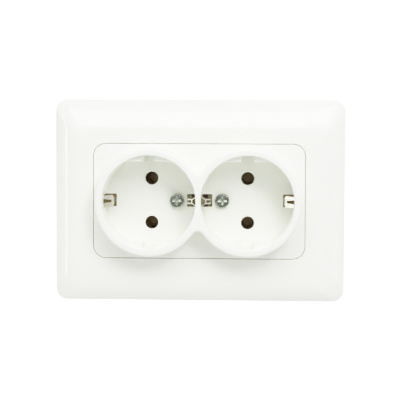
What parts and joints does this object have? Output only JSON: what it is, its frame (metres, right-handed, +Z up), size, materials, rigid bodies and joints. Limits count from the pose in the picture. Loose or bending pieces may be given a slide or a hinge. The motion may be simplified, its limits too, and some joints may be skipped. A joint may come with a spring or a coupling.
{
  "type": "double wall socket outlet",
  "caption": "Flush wall socket outlet for earthed plugs: cushion-shaped frame, insert with joined round plug wells, side earth clips, contact block and spreading claws behind.",
  "frame": {"origin": "centre of the wall plane behind the socket, midway between the box screws", "axes": "+X right, +Z up, the front faces -Y and +Y points into the wall"},
  "size_m": [0.1234, 0.0449, 0.086],
  "materials": {
    "cover_plastic": "gloss moulded white",
    "insert_plastic": "gloss moulded white",
    "block_plastic": "matt brown thermoset moulding",
    "strap_steel": "zinc-plated sheet",
    "earth_metal": "nickel-plated spring strip",
    "contact_brass": "rolled brass strip",
    "screw_steel": "zinc-plated screw",
    "rivet_brass": "brass rivet",
    "claw_steel": "zinc-plated sheet",
    "nut_brass": "brass block"
  },
  "bodies": {
    "socket": {"cover_frame": "cover_plastic", "socket_insert": "insert_plastic", "cover_screws": "screw_steel", "mounting_strap": "strap_steel", "earth_bar": "earth_metal", "earth_bridge": "earth_metal", "contact_lid": "block_plastic", "contact_base": "block_plastic", "line_contact_strip": "contact_brass", "neutral_contact_strip": "contact_brass", "line_terminal_screws": "screw_steel", "neutral_terminal_screws": "screw_steel", "earth_terminal_screws": "screw_steel", "line_clamp_plate": "strap_steel", "neutral_clamp_plate": "strap_steel", "earth_clamp_plate": "strap_steel", "block_rivets": "rivet_brass", "bar_rivets": "rivet_brass"},
    "claw_left": {"claw_left": "claw_steel"},
    "claw_right": {"claw_right": "claw_steel"},
    "claw_screw_left": {"claw_screw_left": "screw_steel"},
    "claw_screw_right": {"claw_screw_right": "screw_steel"},
    "claw_nut_left": {"claw_nut_left": "nut_brass"},
    "claw_nut_right": {"claw_nut_right": "nut_brass"}
  },
  "joints": [
    {"name": "claw_screw_left_turn", "type": "hinge", "parent": "socket", "child": "claw_screw_left", "pos_m": [-0.02249, 0, 0], "axis": [0, 1, 0], "range_deg": [0, 5040]},
    {"name": "claw_nut_left_draw", "type": "slide", "parent": "socket", "child": "claw_nut_left", "axis": [0, -1, 0], "range_m": [0, 0.007]},
    {"name": "claw_left_spread", "type": "hinge", "parent": "socket", "child": "claw_left", "pos_m": [-0.02339, 0.0042, 0], "axis": [0, 0, 1], "range_deg": [0, 17]},
    {"name": "claw_screw_right_turn", "type": "hinge", "parent": "socket", "child": "claw_screw_right", "pos_m": [0.02249, 0, 0], "axis": [0, 1, 0], "range_deg": [0, 5040]},
    {"name": "claw_nut_right_draw", "type": "slide", "parent": "socket", "child": "claw_nut_right", "axis": [0, -1, 0], "range_m": [0, 0.007]},
    {"name": "claw_right_spread", "type": "hinge", "parent": "socket", "child": "claw_right", "pos_m": [0.02339, 0.0042, 0], "axis": [0, 0, -1], "range_deg": [0, 17]}
  ],
  "couplings": [
    {"joint": "claw_screw_left_turn", "follows": "claw_nut_left_draw", "rad_per_m": 12566},
    {"joint": "claw_left_spread", "follows": "claw_nut_left_draw", "rad_per_m": 42.386},
    {"joint": "claw_screw_right_turn", "follows": "claw_nut_right_draw", "rad_per_m": 12566},
    {"joint": "claw_right_spread", "follows": "claw_nut_right_draw", "rad_per_m": 42.386}
  ]
}
